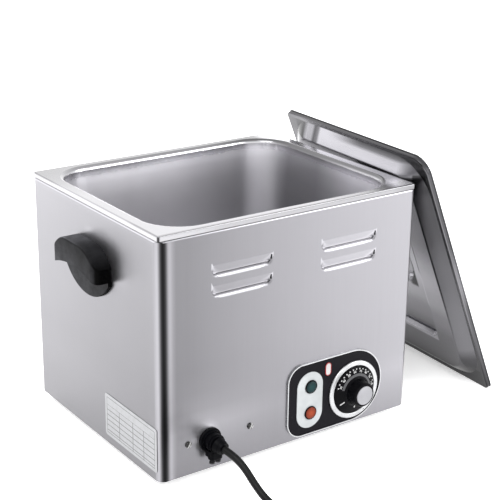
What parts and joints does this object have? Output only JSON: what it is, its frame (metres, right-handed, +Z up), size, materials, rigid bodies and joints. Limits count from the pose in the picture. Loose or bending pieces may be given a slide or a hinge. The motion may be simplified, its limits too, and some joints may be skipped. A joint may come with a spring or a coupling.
{
  "type": "egg boiler",
  "caption": "Tabletop water-bath boiler: square stainless steel case, deep lift-out pan, thermostat dial with lamps, side grips, power cord and a pressed lid leaning on its side.",
  "frame": {"origin": "middle of the base of the whole object on the surface it stands on, leaning lid included and cord left out", "axes": "+X to the right along the front, towards the lid; +Y from the control front to the back; +Z up"},
  "size_m": [0.5665, 0.4653, 0.3035],
  "materials": {
    "casing_steel": "fine vertical brushing",
    "inner_steel": "mill finish",
    "pan_steel": "satin pressed sheet",
    "lid_steel": "satin pressed sheet",
    "screw_steel": "bright plated",
    "heater_steel": "heat-darkened tube",
    "trim_silver": "satin",
    "black_plastic": "moulded, half gloss",
    "panel_black": "printed film",
    "lamp_white": "smooth",
    "badge_white": "smooth",
    "lens_green": "clear moulded",
    "lens_orange": "clear moulded",
    "label_silver": "printed foil",
    "rubber_black": "soft",
    "cord_black": "smooth jacket",
    "plug_black": "moulded",
    "brass_parts": "turned",
    "cap_silver": "smooth",
    "copper_tube": "drawn tube",
    "block_white": "moulded",
    "wire_cover": "smooth"
  },
  "bodies": {
    "housing": {"body_shell": "casing_steel", "rear_panel": "casing_steel", "base_plate": "casing_steel", "inner_tank": "inner_steel", "heating_element": "heater_steel", "element_fittings": "brass_parts", "element_saddles": "inner_steel", "thermostat_body": "block_white", "thermostat_screws": "screw_steel", "capillary_tube": "copper_tube", "capillary_gland": "brass_parts", "sensor_bulb": "copper_tube", "bulb_clip": "inner_steel", "thermal_cutout": "black_plastic", "cutout_bridge": "inner_steel", "dial_bezel": "trim_silver", "control_plate": "panel_black", "control_trim": "trim_silver", "lamp_plate": "lamp_white", "badge_plate": "badge_white", "power_lamp_lens": "lens_green", "heat_lamp_lens": "lens_orange", "lamp_bezels": "black_plastic", "lamp_bodies": "black_plastic", "lamp_nuts": "screw_steel", "gland_flange": "black_plastic", "gland_body": "black_plastic", "gland_clamp": "black_plastic", "gland_clamp_screws": "screw_steel", "gland_collar": "rubber_black", "gland_locknut": "black_plastic", "gland_bracket": "inner_steel", "bracket_nuts": "screw_steel", "front_screws": "screw_steel", "power_cord": "cord_black", "cord_coil": "cord_black", "cord_tail": "cord_black", "plug": "plug_black", "plug_pins": "brass_parts", "side_handle_left": "black_plastic", "side_handle_right": "black_plastic", "handle_bolts": "screw_steel", "handle_washers": "screw_steel", "feet": "rubber_black", "foot_screws": "screw_steel", "foot_nuts": "screw_steel", "base_screws": "screw_steel", "rear_screws": "screw_steel", "terminal_block": "block_white", "terminal_screws": "brass_parts", "earth_stud": "brass_parts", "internal_wires": "wire_cover", "rating_plate": "label_silver"},
    "pan": {"pan": "pan_steel"},
    "lid": {"lid": "lid_steel", "lid_handle": "lid_steel", "lid_rivets": "screw_steel"},
    "knob": {"knob": "black_plastic", "knob_cap": "cap_silver", "thermostat_spindle": "brass_parts"}
  },
  "joints": [
    {"name": "pan_lift", "type": "slide", "parent": "housing", "child": "pan", "axis": [0, 0, 1], "range_m": [0, 0.17]},
    {"name": "lid_lift", "type": "slide", "parent": "housing", "child": "lid", "axis": [0, 0, 1], "range_m": [0, 0.35]},
    {"name": "knob_turn", "type": "hinge", "parent": "housing", "child": "knob", "pos_m": [0.02393, -0.14397, 0.051], "axis": [0, 1, 0], "range_deg": [0, 270]}
  ]
}
